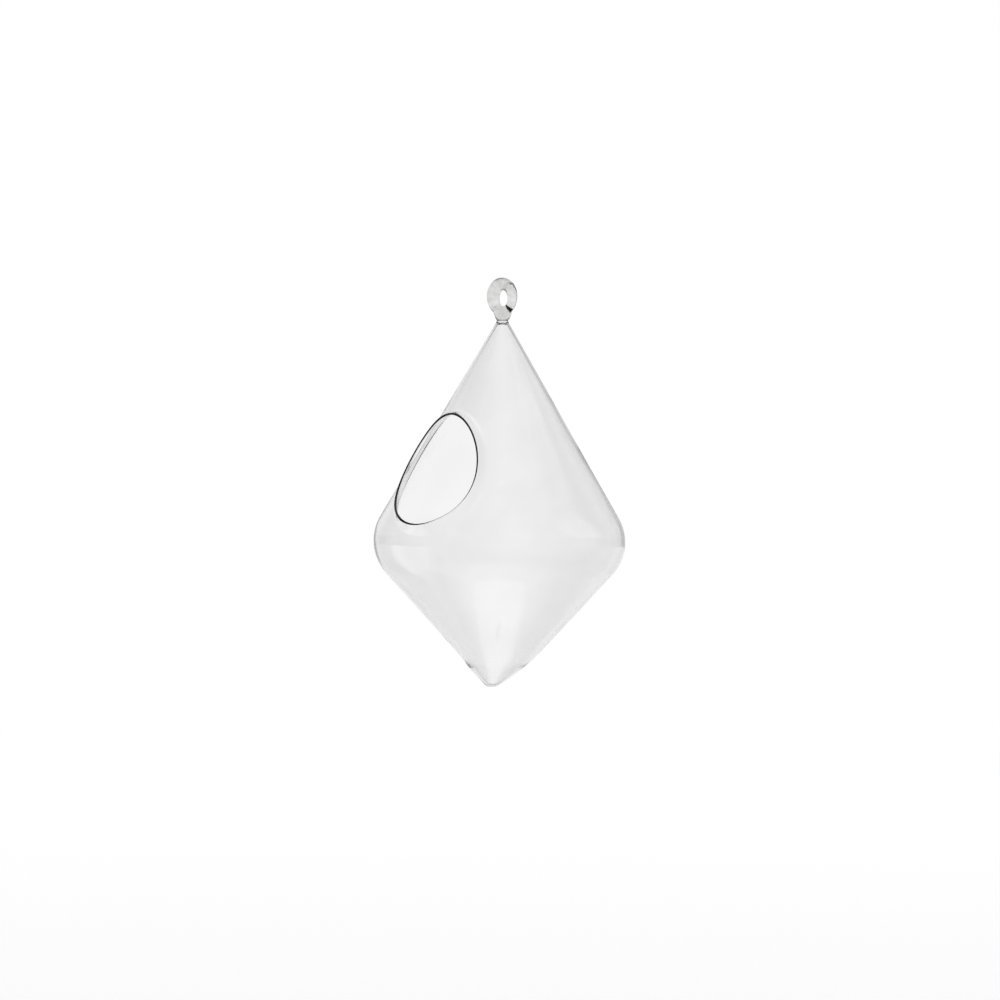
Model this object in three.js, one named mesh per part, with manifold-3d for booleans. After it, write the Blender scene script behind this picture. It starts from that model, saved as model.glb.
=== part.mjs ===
// A hanging vase of clear blown glass: a double cone with an egg-shaped mouth in its side, a solid bit of
// glass melted on top, a closed ring of glass rod pressed into the bit, and a thicker drop that closes the point.
// Millimetres, +Z up. The origin is where a hook bears, at the top of the ring's eye. The mouth faces -Y.
import * as THREE from "three";
import { mergeVertices } from "three/addons/utils/BufferGeometryUtils.js";
import Module from "manifold-3d";

const { degToRad, lerp } = THREE.MathUtils;
const wasm = await Module();
wasm.setup();

// Blown body
const bodyDiameter = 114;
const upperHalfAngle = degToRad(30.2);
const lowerHalfAngle = degToRad(42.4);
const shoulderRadius = 21.6;
const wall = 1.1;
const neckDiameter = 5.24; // where the body's top meets the bit
const neckFillet = 2.7; // bend from the upright neck into the cone
const neckFloor = 1.2; // solid glass between the bit and the hollow's top

// Mouth in the upper cone, measured on the cone's unrolled surface along the edge of its lip
const mouthFootReach = 2.9; // the mouth's foot reaches this far past the cone, onto the shoulder
const mouthLength = 56;
const mouthWidth = 41.4;
const mouthTaper = 0.15; // how much wider the egg is below its middle, and narrower above
const mouthLean = 3.8; // how far the egg's narrow end is drawn towards -X

// Lip drawn out of the wall round the mouth
const lipHeight = 3.2; // of the middle of its rounded edge, square to the wall
const lipReach = 4.5; // from the edge back to where the lip leaves the wall
const lipThickness = 1;
const lipSwell = 0.1; // extra glass on each face where the lip leaves the wall
const lipRoot = 2; // the swell fades into the wall over this length

// Closed point
const tipDiameter = 23.6; // of the body where the drop begins
const tipHalfAngle = degToRad(49.6);
const noseRadius = 5.9;
const tipWall = 1.4; // of the drop, which the last pull in the flame leaves thicker than the body
const thickeningHeight = 3; // above the drop, the wall grows to the drop's thickness over this height
const tipLean = 2.8; // how far the point is drawn off the axis
const tipLeanHeading = degToRad(220.5); // from +X towards +Y
const leanHeight = 19; // the lean begins this far above the point

// Ring of glass rod, its plane across the mouth's direction
const eyeHeight = 7.1;
const ringWidth = 11.4; // across the rod's centreline
const rodTopDiameter = 5.8;
const rodFootDiameter = 4.4;

// Bit of glass that carries the ring
const bitFloor = 1.8; // solid glass under the ring
const cupDiameter = 8.2;
const cupFlare = 4.4; // height over which the bit widens into the cup
const cupRim = 1.2; // rounding of the cup's top edge
const meltGap = 0.3; // clearance between the ring and the saddle it is pressed into

// Fineness of the facets
const roundSegments = 64;
const slimSegments = 36;
const rodSides = 14;
const shoulderSteps = 10;
const coneSteps = 4;
const bendSteps = 5;
const mouthStations = 60;

// Heights and radii that follow from the sizes above
const ringFootZ = -eyeHeight - rodFootDiameter;
const bodyTopZ = ringFootZ - meltGap - bitFloor;
const neckBendZ = bodyTopZ - neckFillet * Math.tan(upperHalfAngle / 2);
const coneApexZ = neckBendZ + neckDiameter / 2 / Math.tan(upperHalfAngle);
const shoulderCentreR = bodyDiameter / 2 - shoulderRadius;
const shoulderTopR = shoulderCentreR + shoulderRadius * Math.cos(upperHalfAngle);
const coneLength = shoulderTopR / Math.sin(upperHalfAngle); // down the wall from the cone's apex
const equatorZ = coneApexZ - coneLength * Math.cos(upperHalfAngle) - shoulderRadius * Math.sin(upperHalfAngle);
const shoulderFootR = shoulderCentreR + shoulderRadius * Math.cos(lowerHalfAngle);
const shoulderFootZ = equatorZ - shoulderRadius * Math.sin(lowerHalfAngle);
const tipTopZ = shoulderFootZ - (shoulderFootR - tipDiameter / 2) / Math.tan(lowerHalfAngle);
const noseCentreZ = tipTopZ - tipDiameter / 2 / Math.tan(tipHalfAngle) + noseRadius / Math.sin(tipHalfAngle);
const pointZ = noseCentreZ - noseRadius;
const wellR = tipDiameter / 2 - tipWall / Math.cos(tipHalfAngle); // of the hollow where it enters the drop

// Clear glass, nearly colourless and smooth from the flame
function clearGlass() {
  return new THREE.MeshStandardMaterial({
    color: 0xe9efee,
    roughness: 0.04,
    metalness: 0,
    transparent: true,
    opacity: 0.4,
  });
}

// A point of a profile: its radius from the axis and its height
const at = (radius, height) => new THREE.Vector2(radius, height);

// Points along an arc in the profile plane, with angles measured up from the horizontal
function arc(centre, radius, fromAngle, toAngle, steps) {
  return Array.from({ length: steps + 1 }, (_, i) => {
    const angle = lerp(fromAngle, toAngle, i / steps);
    return at(centre.x + radius * Math.cos(angle), centre.y + radius * Math.sin(angle));
  });
}

// Points along a bend that is pulled towards a corner
function bend(from, corner, to) {
  return new THREE.QuadraticBezierCurve(from, corner, to).getPoints(bendSteps);
}

// Points along a straight stretch, without its first end
function stretch(from, to, steps) {
  return Array.from({ length: steps }, (_, i) => from.clone().lerp(to, (i + 1) / steps));
}

// A profile turned about the vase's axis
function turned(profile, segments) {
  return new THREE.LatheGeometry(profile, segments).rotateX(Math.PI / 2);
}

// A skin over rings of points. Either the last ring joins the first, or each end is capped by a fan.
function loft(rings, joinsEnds) {
  const perRing = rings[0].length;
  const points = rings.flat();
  const faces = [];
  const spans = joinsEnds ? rings.length : rings.length - 1;
  for (let i = 0; i < spans; i++) {
    const here = i * perRing;
    const next = ((i + 1) % rings.length) * perRing;
    for (let j = 0; j < perRing; j++) {
      const k = (j + 1) % perRing;
      faces.push(here + j, here + k, next + k);
      faces.push(here + j, next + k, next + j);
    }
  }
  if (!joinsEnds) {
    const last = (rings.length - 1) * perRing;
    const firstMiddle = points.push(middleOf(rings[0])) - 1;
    const lastMiddle = points.push(middleOf(rings.at(-1))) - 1;
    for (let j = 0; j < perRing; j++) {
      const k = (j + 1) % perRing;
      faces.push(firstMiddle, k, j);
      faces.push(lastMiddle, last + j, last + k);
    }
  }
  return new THREE.BufferGeometry().setFromPoints(points).setIndex(faces);
}

function middleOf(ring) {
  return ring.reduce((sum, point) => sum.add(point), new THREE.Vector3()).divideScalar(ring.length);
}

// A closed geometry as a solid that faces outwards, without the flat triangles at a lathe's poles
function solid(geometry) {
  const bare = geometry.clone().deleteAttribute("normal").deleteAttribute("uv");
  const merged = mergeVertices(bare, 1e-4);
  const faces = [];
  for (let i = 0; i < merged.index.count; i += 3) {
    const [a, b, c] = [0, 1, 2].map((n) => merged.index.getX(i + n));
    if (a !== b && b !== c && c !== a) {
      faces.push(a, b, c);
    }
  }
  const vertProperties = merged.attributes.position.array;
  const build = (triVerts) => new wasm.Manifold(new wasm.Mesh({ numProp: 3, vertProperties, triVerts }));
  const built = build(new Uint32Array(faces));
  return built.volume() > 0 ? built : build(new Uint32Array(faces.reverse()));
}

// A solid as a geometry with flat facets
function faceted(shape) {
  const mesh = shape.getMesh();
  const geometry = new THREE.BufferGeometry();
  geometry.setAttribute("position", new THREE.BufferAttribute(mesh.vertProperties, 3));
  geometry.setIndex(new THREE.BufferAttribute(mesh.triVerts, 1));
  const loose = geometry.toNonIndexed();
  loose.computeVertexNormals();
  return loose;
}

// The hand-drawn point: what is near it leans off the axis, more and more towards the nose
function leanPoint(geometry) {
  const position = geometry.attributes.position;
  for (let i = 0; i < position.count; i++) {
    const share = Math.max(0, (pointZ + leanHeight - position.getZ(i)) / leanHeight);
    position.setX(i, position.getX(i) + tipLean * share ** 2 * Math.cos(tipLeanHeading));
    position.setY(i, position.getY(i) + tipLean * share ** 2 * Math.sin(tipLeanHeading));
  }
  return geometry;
}

// A place on the body's outer face, as radius and height: slant runs down the wall from the cone's apex and
// on round the shoulder, and rise stands off square to the wall
function wallPlace(slant, rise) {
  const pastCone = Math.max(0, slant - coneLength);
  const tilt = upperHalfAngle - pastCone / shoulderRadius;
  const foot = pastCone > 0
    ? at(shoulderCentreR + shoulderRadius * Math.cos(tilt), equatorZ + shoulderRadius * Math.sin(tilt))
    : at(slant * Math.sin(upperHalfAngle), coneApexZ - slant * Math.cos(upperHalfAngle));
  return at(foot.x + rise * Math.cos(tilt), foot.y + rise * Math.sin(tilt));
}

// A ring of points round the mouth: spread moves the egg's outline outwards along the wall, and rise
// stands it off square to the wall
function mouthRing(spread, rise) {
  const middle = coneLength + mouthFootReach - mouthLength / 2;
  return Array.from({ length: mouthStations }, (_, i) => {
    const turn = (i / mouthStations) * 2 * Math.PI; // from the egg's wide foot
    const drawn = mouthLean * ((1 - Math.cos(turn)) / 2) ** 2;
    const along = middle + (mouthLength / 2 + spread) * Math.cos(turn);
    const across = (mouthWidth / 2 + spread) * Math.sin(turn) * (1 + mouthTaper * Math.cos(turn)) + drawn;
    const heading = Math.atan2(across, along) / Math.sin(upperHalfAngle);
    const place = wallPlace(Math.hypot(along, across), rise);
    return new THREE.Vector3(-place.x * Math.sin(heading), -place.x * Math.cos(heading), place.y);
  });
}

// The lip's cross-section as pairs of spread and rise: a collar that leaves the wall tangentially, bends
// outwards and ends in a fire-polished round
function lipSection() {
  const lift = lipHeight + wall / 2;
  const outside = [];
  const inside = [];
  for (let i = 0; i <= bendSteps; i++) {
    const share = i / bendSteps;
    const slope = Math.atan2(2 * lift * share, lipReach);
    const half = lerp(wall / 2 + lipSwell, lipThickness / 2, share);
    const spread = lipReach * (1 - share);
    const rise = lift * share ** 2 - wall / 2;
    outside.push([spread + half * Math.sin(slope), rise + half * Math.cos(slope)]);
    inside.unshift([spread - half * Math.sin(slope), rise - half * Math.cos(slope)]);
  }
  const edgeSlope = Math.atan2(2 * lift, lipReach);
  const edge = [1, 2, 3].map((n) => {
    const angle = Math.PI / 2 - edgeSlope + (n * Math.PI) / 4;
    return [(lipThickness / 2) * Math.cos(angle), lipHeight + (lipThickness / 2) * Math.sin(angle)];
  });
  const root = [lipReach + lipRoot, -wall / 2];
  return [root, ...outside, ...edge, ...inside];
}

// Blown body: the double cone's wall, cut through at the mouth and drawn out into the lip
function blownBody() {
  const neckCentre = at(neckDiameter / 2 + neckFillet, bodyTopZ);
  const neckBend = arc(neckCentre, neckFillet, Math.PI, Math.PI + upperHalfAngle, bendSteps);
  const shoulderCentre = at(shoulderCentreR, equatorZ);
  const shoulder = arc(shoulderCentre, shoulderRadius, upperHalfAngle, -lowerHalfAngle, shoulderSteps);
  const outside = [
    at(0, bodyTopZ),
    ...neckBend,
    ...stretch(neckBend.at(-1), shoulder[0], coneSteps),
    ...shoulder.slice(1),
    ...stretch(shoulder.at(-1), at(tipDiameter / 2, tipTopZ), coneSteps),
  ];

  const thinZ = tipTopZ + thickeningHeight;
  const thinR = tipDiameter / 2 + thickeningHeight * Math.tan(lowerHalfAngle) - wall / Math.cos(lowerHalfAngle);
  const innerShoulder = arc(shoulderCentre, shoulderRadius - wall, -lowerHalfAngle, upperHalfAngle, shoulderSteps);
  const innerApexZ = coneApexZ - wall / Math.sin(upperHalfAngle);
  const hollowTopZ = bodyTopZ - neckFloor;
  const crownRadius = (innerApexZ - hollowTopZ) / (1 / Math.sin(upperHalfAngle) - 1);
  const crown = arc(at(0, hollowTopZ - crownRadius), crownRadius, upperHalfAngle, Math.PI / 2, bendSteps);
  const inside = [
    at(wellR, tipTopZ),
    ...stretch(at(wellR, tipTopZ), at(thinR, thinZ), coneSteps),
    ...stretch(at(thinR, thinZ), innerShoulder[0], coneSteps),
    ...innerShoulder.slice(1),
    ...stretch(innerShoulder.at(-1), crown[0], coneSteps),
    ...crown.slice(1),
  ];

  const shell = solid(leanPoint(turned([...outside, ...inside], roundSegments)));
  const cutDepth = wall + 2 * lipHeight; // either side of the outer face, to clear its bulge
  const cutter = solid(loft([mouthRing(lipReach, -cutDepth), mouthRing(lipReach, cutDepth)], false));
  const lip = solid(loft(lipSection().map(([spread, rise]) => mouthRing(spread, rise)), true));
  return faceted(shell.subtract(cutter).add(lip));
}

// Hanging ring: rod bent round into an oval eye, thickest at its top. Grown by a clearance, it also cuts
// its own saddle.
function ringOfRod(clearance) {
  const halfWidth = ringWidth / 2;
  const halfHeight = (eyeHeight + rodTopDiameter / 2 + rodFootDiameter / 2) / 2;
  const middleZ = rodTopDiameter / 2 - halfHeight;
  const sections = Array.from({ length: slimSegments }, (_, i) => {
    const turn = (i / slimSegments) * 2 * Math.PI;
    const centre = new THREE.Vector3(halfWidth * Math.cos(turn), 0, middleZ + halfHeight * Math.sin(turn));
    const outwards = new THREE.Vector3(Math.cos(turn) / halfWidth, 0, Math.sin(turn) / halfHeight).normalize();
    const radius = lerp(rodFootDiameter, rodTopDiameter, (1 + Math.sin(turn)) / 2) / 2 + clearance;
    return Array.from({ length: rodSides }, (__, j) => {
      const side = (j / rodSides) * 2 * Math.PI;
      return centre.clone().addScaledVector(outwards, radius * Math.cos(side)).setY(radius * Math.sin(side));
    });
  });
  return solid(loft(sections, true));
}

// Neck bit: a solid cup of glass on the body's top, with the saddle that the ring was pressed into
function neckBit() {
  const cupR = cupDiameter / 2;
  const flareTopZ = bodyTopZ + cupFlare;
  const flare = bend(at(neckDiameter / 2, bodyTopZ), at(cupR, bodyTopZ + cupFlare / 2), at(cupR, flareTopZ));
  const rim = bend(at(cupR, -eyeHeight - cupRim), at(cupR, -eyeHeight), at(cupR - cupRim, -eyeHeight));
  const cup = solid(turned([at(0, bodyTopZ), ...flare, ...rim, at(0, -eyeHeight)], slimSegments));
  return faceted(cup.subtract(ringOfRod(meltGap)));
}

// Sealed tip: the drop that closes the point, with the rounded foot of the hollow in it
function sealedTip() {
  const noseCentre = at(0, noseCentreZ);
  const foot = arc(noseCentre, noseRadius - tipWall, -Math.PI / 2, -tipHalfAngle, bendSteps);
  const nose = arc(noseCentre, noseRadius, -tipHalfAngle, -Math.PI / 2, bendSteps);
  const edge = at(tipDiameter / 2, tipTopZ);
  const well = [...foot, ...stretch(foot.at(-1), at(wellR, tipTopZ), coneSteps)];
  const profile = [...well, edge, ...stretch(edge, nose[0], coneSteps), ...nose.slice(1)];
  return faceted(solid(leanPoint(turned(profile, roundSegments))));
}

// A sub-part of the vase: its geometry under its own name
function piece(name, geometry) {
  const mesh = new THREE.Mesh(geometry, clearGlass());
  mesh.name = name;
  return mesh;
}

const vase = new THREE.Group();
vase.add(piece("blown_body", blownBody()));
vase.add(piece("neck_bit", neckBit()));
vase.add(piece("hanging_ring", faceted(ringOfRod(0))));
vase.add(piece("sealed_tip", sealedTip()));

export default vase;
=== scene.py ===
# %% [markdown]
# A hanging vase of clear, flame-worked glass.
# The real one is blown: a double cone with a thin wall, an egg-shaped mouth in its side whose lip is drawn
# outwards and fire-polished, a thicker drop of glass that closes the point, and a ring of bent rod on top.
# The CAD model already says where everything is. This lesson gives each part the smooth, unbroken skin that
# molten glass has, then the glass itself, and a plain pale studio to look at it in.

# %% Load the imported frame
import math

import bmesh
import bpy
import numpy as np
from mathutils import Matrix, Vector


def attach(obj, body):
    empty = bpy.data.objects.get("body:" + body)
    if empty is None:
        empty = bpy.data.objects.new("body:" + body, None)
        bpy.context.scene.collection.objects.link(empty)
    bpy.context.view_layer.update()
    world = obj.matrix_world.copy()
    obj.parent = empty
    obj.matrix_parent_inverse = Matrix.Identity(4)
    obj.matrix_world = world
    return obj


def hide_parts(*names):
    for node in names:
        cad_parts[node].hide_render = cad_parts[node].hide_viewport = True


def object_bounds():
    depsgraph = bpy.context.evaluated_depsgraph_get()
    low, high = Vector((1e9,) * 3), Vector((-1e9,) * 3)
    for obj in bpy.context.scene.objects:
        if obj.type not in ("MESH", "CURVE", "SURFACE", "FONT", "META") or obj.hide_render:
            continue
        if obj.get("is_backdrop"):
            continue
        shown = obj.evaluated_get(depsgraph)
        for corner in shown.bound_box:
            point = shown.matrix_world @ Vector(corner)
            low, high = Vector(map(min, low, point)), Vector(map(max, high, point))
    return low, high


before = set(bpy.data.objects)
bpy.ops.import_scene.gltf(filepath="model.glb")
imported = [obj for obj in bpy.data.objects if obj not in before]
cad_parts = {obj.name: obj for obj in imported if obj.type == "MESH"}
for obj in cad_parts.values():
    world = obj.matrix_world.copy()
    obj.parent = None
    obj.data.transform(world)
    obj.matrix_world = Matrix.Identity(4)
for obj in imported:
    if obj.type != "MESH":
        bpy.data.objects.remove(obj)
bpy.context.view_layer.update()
print("CAD nodes:", sorted(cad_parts))

# %% [markdown]
# Every length below is written in millimetres, as a maker would measure it, and turned to metres once.
# Two helpers are used all the way through: one turns a hex colour to the linear values that Blender wants,
# and one adds a node to a tree with its settings and its links. Most nodes here do sums on single numbers or
# on vectors, so those two kinds have short names.

# %% Units and helpers
MM = 0.001
MATH, VECTOR = "ShaderNodeMath", "ShaderNodeVectorMath"
scene = bpy.context.scene


def linear(hex_colour):
    """An sRGB hex colour as linear red, green, blue and alpha."""
    channels = [int(hex_colour[i : i + 2], 16) / 255 for i in (1, 3, 5)]
    return [c / 12.92 if c <= 0.04045 else ((c + 0.055) / 1.055) ** 2.4 for c in channels] + [1.0]


def add_node(tree, kind, inputs=None, **settings):
    """Adds a node and gives its first output. Inputs go in order or by name, as values or as outputs."""
    node = tree.nodes.new(kind)
    for name, value in settings.items():
        setattr(node, name, value)
    for key, value in inputs.items() if isinstance(inputs, dict) else enumerate(inputs or []):
        if isinstance(value, bpy.types.NodeSocket):
            tree.links.new(value, node.inputs[key])
        else:
            node.inputs[key].default_value = value
    return node.outputs[0] if node.outputs else node


# %% [markdown]
# These are the sizes of the CAD model, written again here because this file stands alone. The outline of the
# wall, the mouth's egg and the ring's oval all follow from them by the same rules.

# %% Sizes of the vase
BODY_RADIUS = 57.0
UPPER_HALF_ANGLE = math.radians(30.2)
LOWER_HALF_ANGLE = math.radians(42.4)
SHOULDER_RADIUS = 21.6
WALL = 1.1
NECK_RADIUS = 2.62
NECK_FILLET = 2.7
NECK_FLOOR = 1.2

MOUTH_FOOT_REACH = 2.9
MOUTH_LENGTH = 56.0
MOUTH_WIDTH = 41.4
MOUTH_TAPER = 0.15
MOUTH_LEAN = 3.8
LIP_HEIGHT = 3.2
LIP_REACH = 4.5
LIP_THICKNESS = 1.0
LIP_ROOT = 2.0

TIP_RADIUS = 11.8
TIP_HALF_ANGLE = math.radians(49.6)
NOSE_RADIUS = 5.9
TIP_WALL = 1.4
THICKENING_HEIGHT = 3.0
TIP_LEAN = 2.8
TIP_LEAN_HEADING = math.radians(220.5)
LEAN_HEIGHT = 19.0

EYE_HEIGHT = 7.1
RING_WIDTH = 11.4
ROD_TOP_RADIUS = 2.9
ROD_FOOT_RADIUS = 2.2
BIT_FLOOR = 1.8
CUP_RADIUS = 4.1
CUP_FLARE = 4.4
CUP_RIM = 1.2
MELT_GAP = 0.3

# %% Heights and radii that follow from the sizes
BODY_TOP_Z = -EYE_HEIGHT - 2 * ROD_FOOT_RADIUS - MELT_GAP - BIT_FLOOR
NECK_BEND_Z = BODY_TOP_Z - NECK_FILLET * math.tan(UPPER_HALF_ANGLE / 2)
APEX_Z = NECK_BEND_Z + NECK_RADIUS / math.tan(UPPER_HALF_ANGLE)
SHOULDER_CENTRE_R = BODY_RADIUS - SHOULDER_RADIUS
CONE_LENGTH = (SHOULDER_CENTRE_R + SHOULDER_RADIUS * math.cos(UPPER_HALF_ANGLE)) / math.sin(UPPER_HALF_ANGLE)
EQUATOR_Z = APEX_Z - CONE_LENGTH * math.cos(UPPER_HALF_ANGLE) - SHOULDER_RADIUS * math.sin(UPPER_HALF_ANGLE)
SHOULDER_FOOT_R = SHOULDER_CENTRE_R + SHOULDER_RADIUS * math.cos(LOWER_HALF_ANGLE)
SHOULDER_FOOT_Z = EQUATOR_Z - SHOULDER_RADIUS * math.sin(LOWER_HALF_ANGLE)
TIP_TOP_Z = SHOULDER_FOOT_Z - (SHOULDER_FOOT_R - TIP_RADIUS) / math.tan(LOWER_HALF_ANGLE)
NOSE_CENTRE_Z = TIP_TOP_Z - TIP_RADIUS / math.tan(TIP_HALF_ANGLE) + NOSE_RADIUS / math.sin(TIP_HALF_ANGLE)
POINT_Z = NOSE_CENTRE_Z - NOSE_RADIUS
WELL_RADIUS = TIP_RADIUS - TIP_WALL / math.cos(TIP_HALF_ANGLE)
print(f"body top {BODY_TOP_Z:.2f}, equator {EQUATOR_Z:.2f}, tip top {TIP_TOP_Z:.2f}, point {POINT_Z:.2f} mm")

# %% [markdown]
# The wall is a thin shell, so it has two outlines: the one you touch and the one round the hollow. Each is
# drawn here as a line of points from the top down, as radius and height. Molten glass has no sharp corners,
# so each outline is then melted: a little all round the closed point, and a lot where the wall thickens
# above it, since a crisp ledge there would draw a black wedge in the glass.

# %% Drawing the outlines


def arc(centre_r, centre_z, radius, start, end, spacing=0.3):
    """Points along an arc, with angles measured up from the horizontal."""
    steps = max(4, math.ceil(abs(end - start) * radius / spacing))
    angles = np.linspace(start, end, steps + 1)
    return np.column_stack((centre_r + radius * np.cos(angles), centre_z + radius * np.sin(angles)))


def stretch(start, end, spacing=0.3):
    """Points along a straight stretch."""
    start, end = np.array(start, float), np.array(end, float)
    steps = max(2, math.ceil(np.linalg.norm(end - start) / spacing))
    return start + np.linspace(0, 1, steps + 1)[:, None] * (end - start)


def bend(start, corner, end, steps=24):
    """Points along a bend that is pulled towards a corner."""
    t = np.linspace(0, 1, steps + 1)[:, None]
    return (1 - t) ** 2 * np.array(start) + 2 * t * (1 - t) * np.array(corner) + t**2 * np.array(end)


def joined(*stretches):
    """One line of points, with the shared ends kept once."""
    points = np.vstack(stretches)
    keep = np.append(True, np.linalg.norm(np.diff(points, axis=0), axis=1) > 1e-6)
    return points[keep]


def melted(points, above, below, passes):
    """Rounds the corners between two heights, as surface tension does. The ends on the axis stay there."""
    points = points.copy()
    soft = ((points[1:-1, 1] > above) & (points[1:-1, 1] < below))[:, None]
    for _ in range(passes):
        middle = (points[:-2] + 2 * points[1:-1] + points[2:]) / 4
        points[1:-1] = np.where(soft, middle, points[1:-1])
    return points


def lengths_along(points):
    """The distance along the line to each of its points."""
    return np.append(0, np.cumsum(np.linalg.norm(np.diff(points, axis=0), axis=1)))


# %% How much is melted, in passes of surface tension
POINT_PASSES = 12  # all round the closed point, on both faces
OUTER_LEDGE_PASSES = 60
HOLLOW_LEDGE_PASSES = 150

# %% The outer outline, from the flat under the bit to the nose
NECK_CORNER = 0.25  # the small round at the edge of the flat
neck_arc = arc(
    NECK_RADIUS + NECK_FILLET, BODY_TOP_Z, NECK_FILLET, math.pi, math.pi + UPPER_HALF_ANGLE, spacing=0.1
)
neck_corner = arc(
    NECK_RADIUS - NECK_CORNER, BODY_TOP_Z - NECK_CORNER, NECK_CORNER, math.pi / 2, 0, spacing=0.08
)
shoulder = arc(SHOULDER_CENTRE_R, EQUATOR_Z, SHOULDER_RADIUS, UPPER_HALF_ANGLE, -LOWER_HALF_ANGLE)
nose = arc(0, NOSE_CENTRE_Z, NOSE_RADIUS, -TIP_HALF_ANGLE, -math.pi / 2, spacing=0.2)
neck_below_corner = neck_arc[neck_arc[:, 1] < BODY_TOP_Z - NECK_CORNER]
outer_head = joined(stretch((0, BODY_TOP_Z), neck_corner[0]), neck_corner, neck_below_corner)
outer_upper = joined(outer_head, stretch(outer_head[-1], shoulder[0]))
outer_lower = joined(
    shoulder,
    stretch(shoulder[-1], (TIP_RADIUS, TIP_TOP_Z)),
    stretch((TIP_RADIUS, TIP_TOP_Z), nose[0]),
    nose,
)
outer = melted(joined(outer_upper, outer_lower), POINT_Z - 1, TIP_TOP_Z + 6, POINT_PASSES)
outer = melted(outer, TIP_TOP_Z - 4, TIP_TOP_Z + 8, OUTER_LEDGE_PASSES)
outer_lengths = lengths_along(outer)
print(f"outer outline: {len(outer)} points, {outer_lengths[-1]:.1f} mm long, lowest {outer[-1, 1]:.2f} mm")

# %% The outline of the hollow, from its crown under the neck to its foot inside the drop
inner_apex_z = APEX_Z - WALL / math.sin(UPPER_HALF_ANGLE)
hollow_top_z = BODY_TOP_Z - NECK_FLOOR
crown_radius = (inner_apex_z - hollow_top_z) / (1 / math.sin(UPPER_HALF_ANGLE) - 1)
thin_z = TIP_TOP_Z + THICKENING_HEIGHT  # above this the wall has its plain thickness
thin_r = TIP_RADIUS + THICKENING_HEIGHT * math.tan(LOWER_HALF_ANGLE) - WALL / math.cos(LOWER_HALF_ANGLE)
well_foot = arc(0, NOSE_CENTRE_Z, NOSE_RADIUS - TIP_WALL, -TIP_HALF_ANGLE, -math.pi / 2, spacing=0.2)
crown = arc(0, hollow_top_z - crown_radius, crown_radius, math.pi / 2, UPPER_HALF_ANGLE, spacing=0.1)
inner_shoulder = arc(SHOULDER_CENTRE_R, EQUATOR_Z, SHOULDER_RADIUS - WALL, UPPER_HALF_ANGLE, -LOWER_HALF_ANGLE)
hollow_upper = joined(crown, stretch(crown[-1], inner_shoulder[0]))
hollow_lower = joined(
    inner_shoulder,
    stretch(inner_shoulder[-1], (thin_r, thin_z)),
    stretch((thin_r, thin_z), (WELL_RADIUS, TIP_TOP_Z)),
    stretch((WELL_RADIUS, TIP_TOP_Z), well_foot[0]),
    well_foot,
)
hollow = melted(joined(hollow_upper, hollow_lower), POINT_Z - 1, thin_z + 5, POINT_PASSES)
hollow = melted(hollow, TIP_TOP_Z - 5, thin_z + 9, HOLLOW_LEDGE_PASSES)
hollow_lengths = lengths_along(hollow)
print(f"hollow's outline: {len(hollow)} points, crown radius {crown_radius:.2f} mm")

# %% [markdown]
# The vase is turned about its axis everywhere but at the mouth. So the skin is first laid out as a flat
# pattern, like cloth before it is sewn: each point knows which outline it follows, how far down that outline
# it lies, its heading round the axis and how far it stands off. A Geometry Nodes tree then wraps the pattern
# round the axis. Round the mouth the pattern's square grid gives way to rings that follow the egg's edge.

# %% Rows of the pattern
SEGMENTS = 160
ROW_FINENESS = 1.5  # a row may be this many times as tall as it is wide
SHORTEST_ROW, TALLEST_ROW = 0.16, 2.0
upper_start = lengths_along(outer_upper)[-1]  # down the outer outline to the shoulder
hollow_start = lengths_along(hollow_upper)[-1]
shoulder_arc = SHOULDER_RADIUS * (UPPER_HALF_ANGLE + LOWER_HALF_ANGLE)


def outer_down(slant):
    """How far down the outer outline a place is, from its distance down the wall below the cone's apex."""
    return upper_start + slant - CONE_LENGTH


def hollow_down(slant):
    """The same place on the hollow's outline, whose shoulder has a smaller radius."""
    past = slant - CONE_LENGTH
    on_arc = min(max(past, 0.0), shoulder_arc)
    return hollow_start + min(past, 0.0) + on_arc * (1 - WALL / SHOULDER_RADIUS) + max(past - shoulder_arc, 0.0)


def rows_between(points, lengths, start, end):
    """Distances down an outline, as far apart as the columns are at that radius, or a little more."""
    stations = [start]
    while stations[-1] < end:
        radius = np.interp(stations[-1], lengths, points[:, 0])
        step = ROW_FINENESS * 2 * math.pi * radius / SEGMENTS
        stations.append(stations[-1] + min(max(step, SHORTEST_ROW), TALLEST_ROW))
    share = (end - start) / (stations[-1] - start)
    return [start + (s - start) * share for s in stations]


# Both faces share their rows from just under the neck to well below the shoulder, as slants down the cone
SHARED_FROM, SHARED_BELOW_SHOULDER = 9.0, 25.0
shared_to = CONE_LENGTH + shoulder_arc + SHARED_BELOW_SHOULDER
slants = [
    s - upper_start + CONE_LENGTH
    for s in rows_between(outer, outer_lengths, outer_down(SHARED_FROM), outer_down(shared_to))
]
print(f"{len(slants)} rows shared by both faces of the wall")

# %% The egg of the mouth
MOUTH_MIDDLE = CONE_LENGTH + MOUTH_FOOT_REACH - MOUTH_LENGTH / 2


def mouth_place(turn, spread):
    """Slant and heading of a point round the mouth, spread this far outwards from the egg's edge."""
    drawn = MOUTH_LEAN * ((1 - np.cos(turn)) / 2) ** 2
    along = MOUTH_MIDDLE + (MOUTH_LENGTH / 2 + spread) * np.cos(turn)
    across = (MOUTH_WIDTH / 2 + spread) * np.sin(turn) * (1 + MOUTH_TAPER * np.cos(turn)) + drawn
    return np.hypot(along, across), np.arctan2(across, along) / math.sin(UPPER_HALF_ANGLE)


# %% The lip's cross-section: it leaves the wall tangentially, bends outwards and ends in a polished round
LIP_STEPS = 12
EDGE_STEPS = 8


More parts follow.
